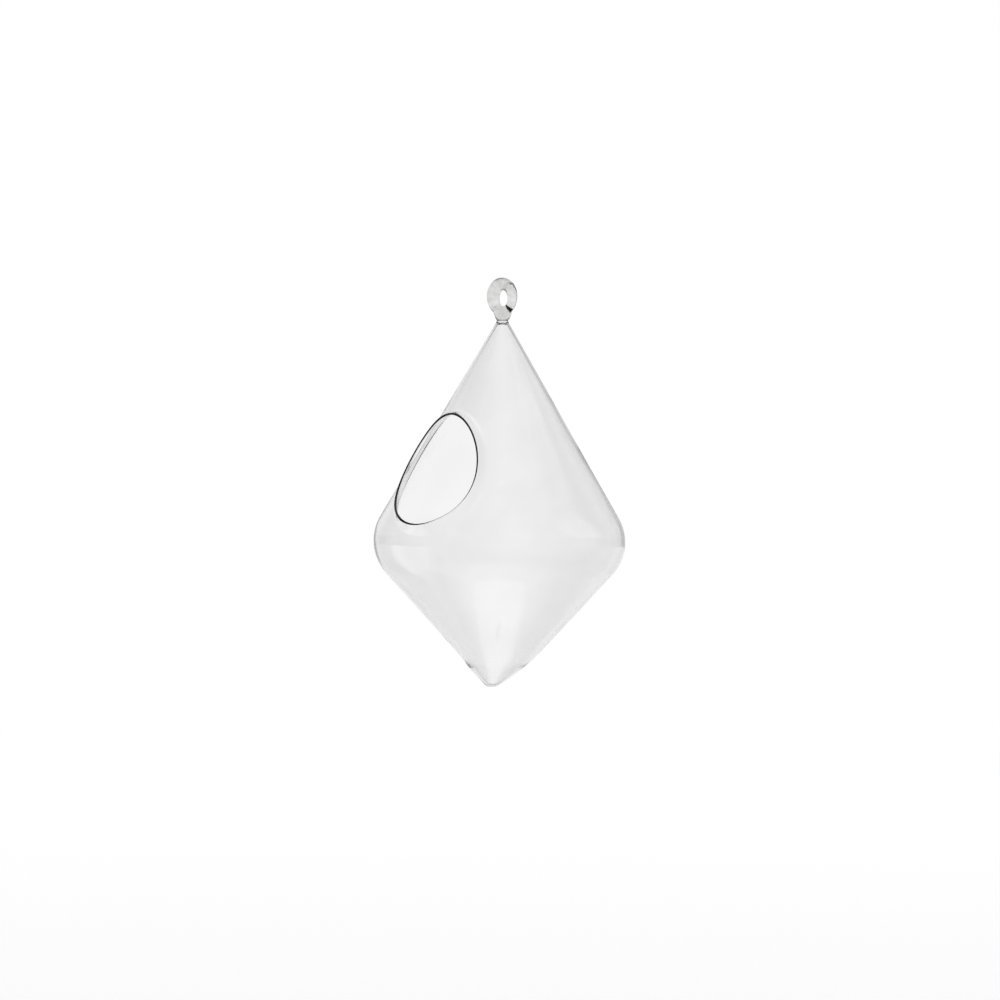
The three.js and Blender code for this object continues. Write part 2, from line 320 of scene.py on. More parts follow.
def lip_section():
    """Pairs of spread and rise, from the wall's outer face round the edge to its inner face."""
    lift = LIP_HEIGHT + WALL / 2
    outside, inside = [], []
    for q in np.linspace(0, 1, LIP_STEPS + 1):
        slope = math.atan2(2 * lift * q, LIP_REACH)
        ease = q * q * (3 - 2 * q)
        half = WALL / 2 + ease * (LIP_THICKNESS - WALL) / 2
        spread, rise = LIP_REACH * (1 - q), lift * q * q - WALL / 2
        outside.append((spread + half * math.sin(slope), rise + half * math.cos(slope)))
        inside.append((spread - half * math.sin(slope), rise - half * math.cos(slope)))
    edge_slope = math.atan2(2 * lift, LIP_REACH)
    angles = [math.pi / 2 - edge_slope + math.pi * n / EDGE_STEPS for n in range(1, EDGE_STEPS)]
    edge = [(LIP_THICKNESS / 2 * math.cos(a), LIP_HEIGHT + LIP_THICKNESS / 2 * math.sin(a)) for a in angles]
    root = LIP_REACH + LIP_ROOT
    return [(root, 0.0), *outside, *edge, *reversed(inside), (root, -WALL)]


section = lip_section()
print(f"lip section of {len(section)} points")


# %% The pattern's points and faces
class Pattern:
    """A skin before it is wrapped: points as (skin, down, heading, rise, calm), and faces between them."""

    def __init__(self):
        self.points = []
        self.faces = []

    def point(self, skin, down, heading, rise=0.0, calm=0.0):
        self.points.append((skin, down, heading, rise, calm))
        return len(self.points) - 1

    def band(self, ring, next_ring):
        """Faces between two closed rings, or a fan if one of them is a single point."""
        count = max(len(ring), len(next_ring))
        for j in range(count):
            k = (j + 1) % count
            near = [ring[j % len(ring)], ring[k % len(ring)]]
            far = [next_ring[k % len(next_ring)], next_ring[j % len(next_ring)]]
            self.faces.append(list(dict.fromkeys(near + far)))


def turned_rows(pattern, skin, downs):
    """Rings of points round the axis. The first and last are single points on it."""
    headings = [2 * math.pi * j / SEGMENTS - math.pi for j in range(SEGMENTS)]
    rings = []
    for i, down in enumerate(downs):
        on_axis = i in (0, len(downs) - 1)
        rings.append([pattern.point(skin, down, h) for h in ([0.0] if on_axis else headings)])
    return rings


# %% Lay out both faces of the wall, with a square left open round the mouth
OPEN_FROM, OPEN_TO = 43, 124  # slants down the cone, above and below the mouth
OPEN_COLUMNS = SEGMENTS // 8  # to each side of the mouth's middle
wall_pattern = Pattern()
first_col, last_col = SEGMENTS // 2 - OPEN_COLUMNS, SEGMENTS // 2 + OPEN_COLUMNS
first_row = min(range(len(slants)), key=lambda i: abs(slants[i] - OPEN_FROM))
last_row = min(range(len(slants)), key=lambda i: abs(slants[i] - OPEN_TO))
outer_rows = [
    *rows_between(outer, outer_lengths, 0.0, outer_down(SHARED_FROM)),
    *[outer_down(s) for s in slants[1:]],
    *rows_between(outer, outer_lengths, outer_down(shared_to), outer_lengths[-1])[1:],
]
hollow_rows = [
    *rows_between(hollow, hollow_lengths, 0.0, hollow_down(SHARED_FROM)),
    *[hollow_down(s) for s in slants[1:]],
    *rows_between(hollow, hollow_lengths, hollow_down(shared_to), hollow_lengths[-1])[1:],
]
grids = []
for skin, downs, above in ((0, outer_rows, outer_down), (1, hollow_rows, hollow_down)):
    rings = turned_rows(wall_pattern, skin, downs)
    top = min(range(len(downs)), key=lambda i: abs(downs[i] - above(slants[first_row])))
    foot = top + last_row - first_row
    for i in range(len(rings) - 1):
        start = len(wall_pattern.faces)
        wall_pattern.band(rings[i], rings[i + 1])
        if top <= i < foot:
            del wall_pattern.faces[start + first_col : start + last_col]
    grids.append((rings, top, foot))
print(f"outer face {len(outer_rows)} rows, hollow {len(hollow_rows)} rows")


# %% Fill the open squares with rings that turn from the square to the egg
def square_loop(rings, top, foot):
    """The points round the open square as (row, column), from the middle of its foot, and where they are."""
    middle = SEGMENTS // 2
    corners = (
        [(foot, c) for c in range(middle, last_col)]
        + [(r, last_col) for r in range(foot, top, -1)]
        + [(top, c) for c in range(last_col, first_col, -1)]
        + [(r, first_col) for r in range(top, foot)]
        + [(foot, c) for c in range(first_col, middle)]
    )
    return [rings[r][c] for r, c in corners], corners


outer_loop, corners = square_loop(*grids[0])
hollow_loop, _ = square_loop(*grids[1])
loop_slants = np.array([slants[r - grids[0][1] + first_row] for r, _ in corners])
loop_headings = np.array([2 * math.pi * c / SEGMENTS - math.pi for _, c in corners])
flat = loop_headings * math.sin(UPPER_HALF_ANGLE)
turns = np.arctan2(
    loop_slants * np.sin(flat) / (MOUTH_WIDTH / 2),
    (loop_slants * np.cos(flat) - MOUTH_MIDDLE) / (MOUTH_LENGTH / 2),
)
turns = np.unwrap(turns) - turns[0]
even = np.arange(len(turns)) * 2 * math.pi / len(turns)
turns = (turns + even) / 2  # halfway to even steps, so that no face round the mouth gets narrow
print(f"{len(turns)} stations round the mouth")

# %% Lay the rings down: outer face, lip, inner face
PATCH_RINGS = 10
root_slants, root_headings = mouth_place(turns, LIP_REACH + LIP_ROOT)


def towards_root(f):
    """Slants and headings this share of the way from the square to the lip's root."""
    slants_there = loop_slants + f * (root_slants - loop_slants)
    return zip(slants_there, loop_headings + f * (root_headings - loop_headings))


rings = [outer_loop]
for k in range(1, PATCH_RINGS):
    f = k / PATCH_RINGS
    rings.append([wall_pattern.point(0, outer_down(s), h, 0.0, f) for s, h in towards_root(f)])
for spread, rise in section:
    places = zip(*mouth_place(turns, spread))
    rings.append([wall_pattern.point(0, outer_down(s), h, rise, 1.0) for s, h in places])
for k in range(PATCH_RINGS - 1, 0, -1):
    f = k / PATCH_RINGS
    rings.append([wall_pattern.point(1, hollow_down(s), h, 0.0, f) for s, h in towards_root(f)])
rings.append(hollow_loop)
for ring, next_ring in zip(rings, rings[1:]):
    wall_pattern.band(ring, next_ring)
print(f"wall pattern: {len(wall_pattern.points)} points, {len(wall_pattern.faces)} faces")

# %% [markdown]
# The tree below wraps a pattern round the axis. It reads each point's place from named attributes, samples
# the outline's curve there, turns the result to its heading, and leans whatever is near the point. Two soft
# noises stand for the hand of the blower: one moves both faces together, and one thins and thickens the wall.
# The sizes are named inputs, so the same tree wraps the bit of glass at the top too.

# %% The tree that wraps a pattern
def new_tree(name, inputs):
    """An empty Geometry Nodes tree with named inputs, its inputs' sockets and its output node."""
    tree = bpy.data.node_groups.new(name, "GeometryNodeTree")
    tree.interface.new_socket(name="Geometry", in_out="INPUT", socket_type="NodeSocketGeometry")
    for label, kind in inputs.items():
        tree.interface.new_socket(name=label, in_out="INPUT", socket_type="NodeSocket" + kind)
    tree.interface.new_socket(name="Geometry", in_out="OUTPUT", socket_type="NodeSocketGeometry")
    return tree, tree.nodes.new("NodeGroupInput").outputs, tree.nodes.new("NodeGroupOutput")


def finish_tree(tree, geometry, material, result):
    """The last nodes of each tree: smooth faces, real geometry and the material."""
    smooth = add_node(tree, "GeometryNodeSetShadeSmooth", [geometry])
    real = add_node(tree, "GeometryNodeRealizeInstances", [smooth])
    dressed = add_node(tree, "GeometryNodeSetMaterial", {"Geometry": real, "Material": material})
    tree.links.new(dressed, result.inputs[0])
    print(f"{tree.name}: {len(tree.nodes)} nodes")


wrap, given, result = new_tree(
    "wrap_pattern_round_axis",
    {
        "Outlines": "Object",
        "Point Height": "Float",
        "Lean Height": "Float",
        "Lean": "Vector",
        "Wander": "Float",
        "Wander Size": "Float",
        "Uneven Wall": "Float",
        "Uneven Size": "Float",
        "Seed": "Float",
        "Material": "Material",
    },
)
NAMED = "GeometryNodeInputNamedAttribute"
down = add_node(wrap, NAMED, {"Name": "down"}, data_type="FLOAT")
heading = add_node(wrap, NAMED, {"Name": "heading"}, data_type="FLOAT")
rise = add_node(wrap, NAMED, {"Name": "rise"}, data_type="FLOAT")
calm = add_node(wrap, NAMED, {"Name": "calm"}, data_type="FLOAT")
skin = add_node(wrap, NAMED, {"Name": "skin"}, data_type="INT")

# %% Where each point lies on its outline, turned to its heading
outline = add_node(wrap, "GeometryNodeObjectInfo", {"Object": given["Outlines"]}).node.outputs["Geometry"]
sample = add_node(
    wrap, "GeometryNodeSampleCurve", {"Curves": outline, "Length": down, "Curve Index": skin}, mode="LENGTH"
).node.outputs
square = add_node(wrap, VECTOR, [sample["Tangent"], (0, 1, 0)], operation="CROSS_PRODUCT")
normal = add_node(wrap, VECTOR, [square], operation="NORMALIZE")
quarter = add_node(wrap, MATH, [heading, -1.0, -math.pi / 2], operation="MULTIPLY_ADD")
ROTATE = "ShaderNodeVectorRotate"
round_place = add_node(wrap, ROTATE, {"Vector": sample["Position"], "Angle": quarter}, rotation_type="Z_AXIS")
round_normal = add_node(wrap, ROTATE, {"Vector": normal, "Angle": quarter}, rotation_type="Z_AXIS")


# %% The hand of the blower: soft noise along the wall's own normal
def soft_swells(tree, place, size, seed, height):
    """Swells this far apart, which rise and fall by this height."""
    finer = add_node(tree, MATH, [1.0, size], operation="DIVIDE")
    scaled = add_node(tree, VECTOR, {0: place, "Scale": finer}, operation="SCALE")
    settings = {"Vector": scaled, "W": seed, "Scale": 1.0, "Detail": 1.0}
    noise = add_node(tree, "ShaderNodeTexNoise", settings, noise_dimensions="4D")
    either_way = add_node(tree, MATH, [noise, 2.0, -1.0], operation="MULTIPLY_ADD")
    return add_node(tree, MATH, [either_way, height], operation="MULTIPLY")


wander = soft_swells(wrap, round_place, given["Wander Size"], given["Seed"], given["Wander"])
other_seed = add_node(wrap, MATH, [given["Seed"], 7.0], operation="ADD")  # so the two noises differ
uneven = soft_swells(wrap, round_place, given["Uneven Size"], other_seed, given["Uneven Wall"])
not_calm = add_node(wrap, MATH, [1.0, calm], operation="SUBTRACT")
on_hollow = add_node(wrap, MATH, [skin, not_calm], operation="MULTIPLY")
both_faces = add_node(wrap, MATH, [rise, wander], operation="ADD")
stand_off = add_node(wrap, MATH, [uneven, on_hollow, both_faces], operation="MULTIPLY_ADD")
off_wall = add_node(wrap, VECTOR, {0: round_normal, "Scale": stand_off}, operation="SCALE")
on_wall = add_node(wrap, VECTOR, [round_place, off_wall], operation="ADD")

# %% The lean of the point, and the end of the tree
height = add_node(wrap, "ShaderNodeSeparateXYZ", [on_wall]).node.outputs["Z"]
above_point = add_node(wrap, MATH, [height, given["Point Height"]], operation="SUBTRACT")
up_the_lean = add_node(wrap, MATH, [above_point, given["Lean Height"]], operation="DIVIDE")
share = add_node(wrap, MATH, [1.0, up_the_lean], operation="SUBTRACT", use_clamp=True)
eased = add_node(wrap, MATH, [share, 2.0], operation="POWER")
lean = add_node(wrap, VECTOR, {0: given["Lean"], "Scale": eased}, operation="SCALE")
leant = add_node(wrap, VECTOR, [on_wall, lean], operation="ADD")
placed = add_node(wrap, "GeometryNodeSetPosition", {"Geometry": given["Geometry"], "Position": leant})
finish_tree(wrap, placed, given["Material"], result)


# %% From pattern to plain mesh
def set_inputs(modifier, values):
    """Sets a tree's inputs by their sockets' identifiers."""
    sockets = {s.name: s.identifier for s in modifier.node_group.interface.items_tree if s.in_out == "INPUT"}
    for name, value in values.items():
        modifier[sockets[name]] = value


def through_tree(name, mesh, tree, values):
    """Runs a mesh through a Geometry Nodes tree and gives back the plain mesh that comes out."""
    carrier = bpy.data.objects.new(name + "_carrier", mesh)
    scene.collection.objects.link(carrier)
    modifier = carrier.modifiers.new(tree.name, "NODES")
    modifier.node_group = tree
    set_inputs(modifier, values)
    result = bpy.data.meshes.new_from_object(carrier.evaluated_get(bpy.context.evaluated_depsgraph_get()))
    bpy.data.objects.remove(carrier)
    result.name = name
    return result


def outlines_as_curve(name, outlines):
    """An object whose curve has one line for each outline, in metres, in the plane of X and Z."""
    curve = bpy.data.curves.new(name, "CURVE")
    curve.dimensions = "3D"
    for points in outlines:
        spline = curve.splines.new("POLY")
        spline.points.add(len(points) - 1)
        spline.points.foreach_set("co", [x for r, z in points for x in (r * MM, 0.0, z * MM, 1.0)])
    holder = bpy.data.objects.new(name, curve)
    scene.collection.objects.link(holder)
    return holder


def pattern_mesh(pattern, name):
    """A mesh with the pattern's faces, and its points' places as attributes in metres."""
    mesh = bpy.data.meshes.new(name)
    mesh.from_pydata([(0, 0, 0)] * len(pattern.points), [], pattern.faces)
    columns = list(zip(*pattern.points))
    mesh.attributes.new("skin", "INT", "POINT").data.foreach_set("value", columns[0])
    for label, column, unit in (("down", 1, MM), ("heading", 2, 1.0), ("rise", 3, MM), ("calm", 4, 1.0)):
        values = np.array(columns[column], np.float32) * unit
        mesh.attributes.new(label, "FLOAT", "POINT").data.foreach_set("value", values.astype(np.float32))
    return mesh


def tidy_skin(mesh):
    """Turns every face outwards and drops what only the tree needed. Prints how closed the skin is."""
    work = bmesh.new()
    work.from_mesh(mesh)
    bmesh.ops.recalc_face_normals(work, faces=work.faces)
    if work.calc_volume(signed=True) < 0:
        bmesh.ops.reverse_faces(work, faces=work.faces)
    open_edges = sum(not e.is_manifold for e in work.edges)
    volume = work.calc_volume(signed=True) * 1e6
    work.to_mesh(mesh)
    work.free()
    for label in ("skin", "down", "heading", "rise", "calm"):
        if label in mesh.attributes:
            mesh.attributes.remove(mesh.attributes[label])
    print(f"{mesh.name}: {len(mesh.polygons)} faces, {open_edges} open edges, {volume:.2f} cm3 of glass")


# %% [markdown]
# Flame-worked vases are made of borosilicate tube and rod. It is as clear as glass gets, with a faint grey,
# hardly green at all, that only shows where you look through a lot of it, along an edge or into the bit under
# the ring. Each face sends back about 4% of the light, which is what makes a thin wall visible at all. Breath
# and turning leave swells of a centimetre or two in the wall's skin, so highlights run a little unevenly. The
# rod has been in the flame for longer, and it has closer swells and faint cloudy veils.

# %% The two glasses
HAZE_SIZE = 9  # the spacing of the patches where the polish is a little less sharp
VEIL_STARTS, VEIL_IS_FULL = 0.38, 0.66  # of the noise's range


def clear_glass(name, tint, depth, swell, swell_height, roughest, veil, veil_size):
    """Borosilicate glass, with lengths in millimetres.

    Tint and depth are the colour that a long way through it takes and how dense it is, per metre. Swell and
    swell_height are the spacing and height of its surface swells, and roughest is its dullest polish. Veil and
    veil_size are the colour and spacing of the faint clouds that the flame leaves in its skin.
    """
    material = bpy.data.materials.new(name)
    material.use_nodes = True
    tree = material.node_tree
    tree.nodes.clear()
    place = add_node(tree, "ShaderNodeTexCoord").node.outputs["Object"]
    noise = "ShaderNodeTexNoise"
    soft = {"Vector": place, "Scale": 1 / (swell * MM), "Detail": 2.0, "Roughness": 0.4}
    swells = add_node(tree, noise, soft)
    bump = add_node(tree, "ShaderNodeBump", {"Height": swells, "Strength": 1.0, "Distance": swell_height * MM})
    haze = add_node(tree, noise, {"Vector": place, "Scale": 1 / (HAZE_SIZE * MM), "Detail": 5.0})
    rough = add_node(
        tree, "ShaderNodeMapRange", {"Value": haze, "From Min": 0.35, "From Max": 0.75, "To Max": roughest}
    )
    clouds = add_node(tree, noise, {"Vector": place, "Scale": 1 / (veil_size * MM), "Detail": 3.0})
    veils = add_node(tree, "ShaderNodeValToRGB", [clouds])
    clear, clouded = veils.node.color_ramp.elements
    clear.position, clouded.position = VEIL_STARTS, VEIL_IS_FULL
    clear.color, clouded.color = linear("#FFFFFF"), linear(veil)
    skin = add_node(
        tree,
        "ShaderNodeBsdfPrincipled",
        {
            "Base Color": veils,
            "Roughness": rough,
            "IOR": 1.474,
            "Transmission Weight": 1.0,
            "Normal": bump,
        },
    )
    depths = add_node(tree, "ShaderNodeVolumeAbsorption", {"Color": linear(tint), "Density": depth})
    add_node(tree, "ShaderNodeOutputMaterial", {"Surface": skin, "Volume": depths})
    return material


# Blown thin and never touched by a tool, so its face is sharp and nearly free of veils
blown_glass = clear_glass(
    "blown_borosilicate_wall",
    tint="#A3A5A3",
    depth=42.0,
    swell=16,
    swell_height=0.02,
    roughest=0.02,
    veil="#FCFCFC",
    veil_size=26,
)
# Bent and pressed while hot, so its face is a little duller and its veils show
rod_glass = clear_glass(
    "fire_polished_borosilicate_rod",
    tint="#A1A29F",
    depth=62.0,
    swell=3.5,
    swell_height=0.06,
    roughest=0.15,
    veil="#E1E1E0",
    veil_size=2.4,
)

# %% Wrap the body
outlines = outlines_as_curve("wall_outlines", [outer, hollow])
lean_vector = (TIP_LEAN * MM * math.cos(TIP_LEAN_HEADING), TIP_LEAN * MM * math.sin(TIP_LEAN_HEADING), 0.0)
body_mesh = through_tree(
    "blown_body_skin",
    pattern_mesh(wall_pattern, "wall_pattern"),
    wrap,
    {
        "Outlines": outlines,
        "Point Height": POINT_Z * MM,
        "Lean Height": LEAN_HEIGHT * MM,
        "Lean": lean_vector,
        "Wander": 0.25 * MM,
        "Wander Size": 45 * MM,
        "Uneven Wall": 0.12 * MM,
        "Uneven Size": 22 * MM,
        "Seed": 3.0,
        "Material": blown_glass,
    },
)
bpy.data.objects.remove(outlines)
tidy_skin(body_mesh)

# %% [markdown]
# The ring is a length of rod, softened and bent round until its ends meet. They overlap a little near the
# top, and the joint shows as a shallow crease. In Geometry Nodes that is a curve whose points are placed by
# rule and swept with a circle. The bit under it is turned, so it uses the wrapping tree again.

# %% The tree that bends the rod
bend_rod, given, result = new_tree(
    "bend_rod_into_ring",
    {
        "Half Width": "Float",
        "Half Height": "Float",
        "Middle Height": "Float",
        "Foot Radius": "Float",
        "Top Radius": "Float",
        "Left Swell": "Float",
        "Joint Angle": "Float",
        "Joint Slip": "Float",
        "Joint Overlap": "Float",
        "Joint Width": "Float",
        "Joint Crease": "Float",
        "Material": "Material",
    },
)
ROD_STEPS, ROD_SIDES = 220, 40
line = add_node(bend_rod, "GeometryNodeCurvePrimitiveLine")
fine_line = add_node(bend_rod, "GeometryNodeResampleCurve", {"Curve": line, "Count": ROD_STEPS})
factor = add_node(bend_rod, "GeometryNodeSplineParameter")
whole_turn = add_node(bend_rod, MATH, [2 * math.pi, given["Joint Overlap"]], operation="ADD")
angle = add_node(bend_rod, MATH, [factor, whole_turn, given["Joint Angle"]], operation="MULTIPLY_ADD")
cosine = add_node(bend_rod, MATH, [angle], operation="COSINE")
sine = add_node(bend_rod, MATH, [angle], operation="SINE")
# The two ends pass each other, one on each side of the ring's line, and nearly all of that is close to them
SLIP_POWER = 9.0  # odd, so that the two ends slip opposite ways
SLIP_ALONG_Y = 0.8  # of it is across the ring's plane
from_middle = add_node(bend_rod, MATH, [factor, 2.0, -1.0], operation="MULTIPLY_ADD")
towards_ends = add_node(bend_rod, MATH, [from_middle, SLIP_POWER], operation="POWER")
slip = add_node(bend_rod, MATH, [towards_ends, given["Joint Slip"]], operation="MULTIPLY")
wide = add_node(bend_rod, MATH, [given["Half Width"], slip], operation="ADD")
high = add_node(bend_rod, MATH, [given["Half Height"], slip], operation="ADD")
x = add_node(bend_rod, MATH, [cosine, wide], operation="MULTIPLY")
y = add_node(bend_rod, MATH, [slip, SLIP_ALONG_Y], operation="MULTIPLY")
z = add_node(bend_rod, MATH, [sine, high, given["Middle Height"]], operation="MULTIPLY_ADD")
place = add_node(bend_rod, "ShaderNodeCombineXYZ", [x, y, z])
bent = add_node(bend_rod, "GeometryNodeSetPosition", {"Geometry": fine_line, "Position": place})

# %% The rod's thickness, and the crease where its ends meet
thick = add_node(
    bend_rod, "ShaderNodeMapRange", [sine, -1.0, 1.0, given["Foot Radius"], given["Top Radius"]]
)
leftwards = add_node(bend_rod, MATH, [cosine, -1.0], operation="MULTIPLY")
swollen = add_node(bend_rod, MATH, [leftwards, given["Left Swell"], thick], operation="MULTIPLY_ADD")
to_far_end = add_node(bend_rod, MATH, [1.0, factor], operation="SUBTRACT")
to_end = add_node(bend_rod, MATH, [factor, to_far_end], operation="MINIMUM")
creased = add_node(
    bend_rod,
    "ShaderNodeMapRange",
    [to_end, 0.0, given["Joint Width"], given["Joint Crease"], 1.0],
    interpolation_type="SMOOTHSTEP",
)
radius = add_node(bend_rod, MATH, [swollen, creased], operation="MULTIPLY")
circle = add_node(bend_rod, "GeometryNodeCurvePrimitiveCircle", {"Resolution": ROD_SIDES, "Radius": 1.0})
swept = add_node(
    bend_rod,
    "GeometryNodeCurveToMesh",
    {"Curve": bent, "Profile Curve": circle, "Scale": radius, "Fill Caps": True},
)
finish_tree(bend_rod, swept, given["Material"], result)

# %% Bend the rod
half_height = (EYE_HEIGHT + ROD_TOP_RADIUS + ROD_FOOT_RADIUS) / 2
ring_mesh = through_tree(
    "ring_skin",
    bpy.data.meshes.new("nothing"),
    bend_rod,
    {
        "Half Width": RING_WIDTH / 2 * MM,
        "Half Height": half_height * MM,
        "Middle Height": (ROD_TOP_RADIUS - half_height) * MM,
        "Foot Radius": ROD_FOOT_RADIUS * MM,
        "Top Radius": ROD_TOP_RADIUS * MM,
        "Left Swell": 0.35 * MM,
        "Joint Angle": math.radians(62),
        "Joint Slip": 0.05 * MM,
        "Joint Overlap": math.radians(2),
        "Joint Width": 0.022,
        "Joint Crease": 0.98,
        "Material": rod_glass,
    },
)
print(f"ring: {len(ring_mesh.polygons)} faces")

# %% Turn the bit
HAIR = 0.02  # of air between the body's flat top and the bit
cup_foot_z = BODY_TOP_Z + HAIR
flare_top_z = BODY_TOP_Z + CUP_FLARE
bit_outline = joined(
    stretch((0, -EYE_HEIGHT), (CUP_RADIUS - CUP_RIM, -EYE_HEIGHT)),
    bend((CUP_RADIUS - CUP_RIM, -EYE_HEIGHT), (CUP_RADIUS, -EYE_HEIGHT), (CUP_RADIUS, -EYE_HEIGHT - CUP_RIM)),
    stretch((CUP_RADIUS, -EYE_HEIGHT - CUP_RIM), (CUP_RADIUS, flare_top_z)),
    bend((CUP_RADIUS, flare_top_z), (CUP_RADIUS, BODY_TOP_Z + CUP_FLARE / 2), (NECK_RADIUS, cup_foot_z)),
    stretch((NECK_RADIUS, cup_foot_z), (0, cup_foot_z)),
)
bit_lengths = lengths_along(bit_outline)
bit_pattern = Pattern()
bit_rings = turned_rows(bit_pattern, 0, rows_between(bit_outline, bit_lengths, 0.0, bit_lengths[-1]))
for ring, next_ring in zip(bit_rings, bit_rings[1:]):
    bit_pattern.band(ring, next_ring)
outlines = outlines_as_curve("bit_outline", [bit_outline])
bit_mesh = through_tree(
    "bit_skin",
    pattern_mesh(bit_pattern, "bit_pattern"),
    wrap,
    {
        "Outlines": outlines,
        "Point Height": -1.0,  # a metre down, so nothing of the bit leans
        "Lean Height": 1e-3,
        "Wander Size": 1.0,
        "Uneven Size": 1.0,
        "Material": rod_glass,
    },
)
bpy.data.objects.remove(outlines)
tidy_skin(bit_mesh)

# %% [markdown]
# The ring is pressed into the bit while both are soft, so the two run into each other. Their skins are put
# together, remeshed at a fraction of a millimetre and smoothed. That gives the small fillets of a weld, with
# no surface left inside the glass.

# %% Melt ring and bit together
MELT_VOXEL = 0.13
MELT_PASSES = 14


def melted_together(name, meshes, voxel, passes, material):
    """One smooth closed skin round several overlapping ones."""
    work = bmesh.new()
    for mesh in meshes:
        work.from_mesh(mesh)
    both = bpy.data.meshes.new(name + "_parts")
    work.to_mesh(both)
    work.free()
    carrier = bpy.data.objects.new(name + "_carrier", both)
    scene.collection.objects.link(carrier)
    remesh = carrier.modifiers.new("melt", "REMESH")
    remesh.mode = "VOXEL"
    remesh.voxel_size = voxel
    remesh.use_smooth_shade = True
    smooth = carrier.modifiers.new("surface_tension", "SMOOTH")
    smooth.factor = 0.5
    smooth.iterations = passes
    result = bpy.data.meshes.new_from_object(carrier.evaluated_get(bpy.context.evaluated_depsgraph_get()))
    bpy.data.objects.remove(carrier)
    result.name = name
    result.materials.clear()
    result.materials.append(material)
    result.polygons.foreach_set("use_smooth", [True] * len(result.polygons))
    return result


rod_mesh = melted_together("ring_and_bit_skin", [ring_mesh, bit_mesh], MELT_VOXEL * MM, MELT_PASSES, rod_glass)
tidy_skin(rod_mesh)


# %% Put the pieces on the frame
def piece(name, mesh, slot, *nodes):
    """Shows a mesh as a piece that stands for CAD nodes, and rides on the vase."""
    shown = bpy.data.objects.new(name, mesh)
    scene.collection.objects.link(shown)
    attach(shown, "root")
    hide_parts(*nodes)
    print(f"{name} stands for {' and '.join(nodes)}")


piece("blown_body_glass", body_mesh, "blown_glass", "blown_body", "sealed_tip")
piece("hanging_ring_glass", rod_mesh, "rod_glass", "hanging_ring", "neck_bit")

# %% [markdown]
# Clear glass has no colour of its own to show: what you see is the room through it and on it. The vase hangs
# over a pale floor in front of a white wall, in a dimmer room that is brightest low down behind the vase and
# overhead. Light that comes straight through the glass shows the white wall and floor, as in the photograph,
# and light that bounces in it or off it shows the dimmer room, which is what draws the edges. Light Path
# tells the two apart by how often a ray has been mirrored.

# %% Camera
CAMERA_AZIMUTH = math.radians(40.5)
CAMERA_ELEVATION = math.radians(3.0)
ROLL = math.radians(0.8)
FRAME_WIDTH = 0.4525
LENS, SENSOR = 200.0, 36.0
back = Vector((-math.sin(CAMERA_AZIMUTH), math.cos(CAMERA_AZIMUTH), 0))
right = Vector((math.cos(CAMERA_AZIMUTH), math.sin(CAMERA_AZIMUTH), 0))
looking = (back * math.cos(CAMERA_ELEVATION) - Vector((0, 0, 1)) * math.sin(CAMERA_ELEVATION)).normalized()
distance = FRAME_WIDTH * LENS / SENSOR
camera = bpy.data.objects.new("camera", bpy.data.cameras.new("camera"))
camera.data.lens, camera.data.sensor_width = LENS, SENSOR
camera.data.clip_start, camera.data.clip_end = 0.1, 100
scene.collection.objects.link(camera)
scene.camera = camera
TARGET = Vector((0, 0, -0.0948))  # on the axis, a little above the widest place
camera.matrix_world = (
    Matrix.Translation(TARGET - looking * distance)
    @ looking.to_track_quat("-Z", "Y").to_matrix().to_4x4()
    @ Matrix.Rotation(ROLL, 4, "Z")
)
print(f"camera {distance:.2f} m away")

# %% Floor
FLOOR_Z = -0.36
FLOOR_SIDES = 96
FLOOR_RADII = (0.4, 1.2, 3.0)
floor_rings = [
    (r * math.cos(a), r * math.sin(a), FLOOR_Z)
    for r in FLOOR_RADII
    for a in np.linspace(0, 2 * math.pi, FLOOR_SIDES, endpoint=False)
]
floor_faces = []
for j in range(FLOOR_SIDES):
    k = (j + 1) % FLOOR_SIDES
    floor_faces.append((len(floor_rings), j, k))
    for ring_start in (0, FLOOR_SIDES):
        outer_start = ring_start + FLOOR_SIDES
        floor_faces.append((ring_start + j, outer_start + j, outer_start + k, ring_start + k))
floor_mesh = bpy.data.meshes.new("floor")
floor_mesh.from_pydata([*floor_rings, (0, 0, FLOOR_Z)], [], floor_faces)
floor = bpy.data.objects.new("floor", floor_mesh)
scene.collection.objects.link(floor)
floor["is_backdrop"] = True

# %% The floor's paper: matt white, and for reflections only a dimmer glow in a painted pattern, a painted reflection
# A Map Range node takes its limits as from, from, to, to: the brightness runs between the last two
SMOOTH = {"interpolation_type": "SMOOTHSTEP"}
paper = bpy.data.materials.new("matt_white_paper")
paper.use_nodes = True
tree = paper.node_tree
tree.nodes.clear()
place = add_node(tree, "ShaderNodeTexCoord").node.outputs["Object"]
on_floor = add_node(tree, VECTOR, [place, (1, 1, 0)], operation="MULTIPLY")
away = add_node(tree, VECTOR, [on_floor], operation="LENGTH").node.outputs["Value"]
# Painted reflection: for reflection rays only the paper glows, brightest in a small disc right under the vase,
# and far off brighter behind it and at its left
painted_reflection_disc = add_node(tree, "ShaderNodeMapRange", [away, 0.068, 0.084, 0.76, 0.43], **SMOOTH)
far_off = add_node(tree, "ShaderNodeMapRange", [away, 0.09, 0.35, 0.0, 1.0], **SMOOTH)
which_way = add_node(tree, VECTOR, [on_floor], operation="NORMALIZE")
backwards = add_node(tree, VECTOR, [which_way, back], operation="DOT_PRODUCT").node.outputs["Value"]
to_back = add_node(tree, "ShaderNodeMapRange", [backwards, 0.05, 0.85, -0.24, 0.5])
sideways = add_node(tree, VECTOR, [which_way, right], operation="DOT_PRODUCT").node.outputs["Value"]
at_left = add_node(tree, "ShaderNodeMapRange", [sideways, -0.85, -0.97, 0.0, 0.75], **SMOOTH)
directed = add_node(tree, MATH, [to_back, at_left], operation="ADD")
painted_reflection_glow = add_node(tree, MATH, [far_off, directed, painted_reflection_disc], operation="MULTIPLY_ADD")
print("mirrored floor: a bright disc under the vase, and far off brighter behind it and at its left")
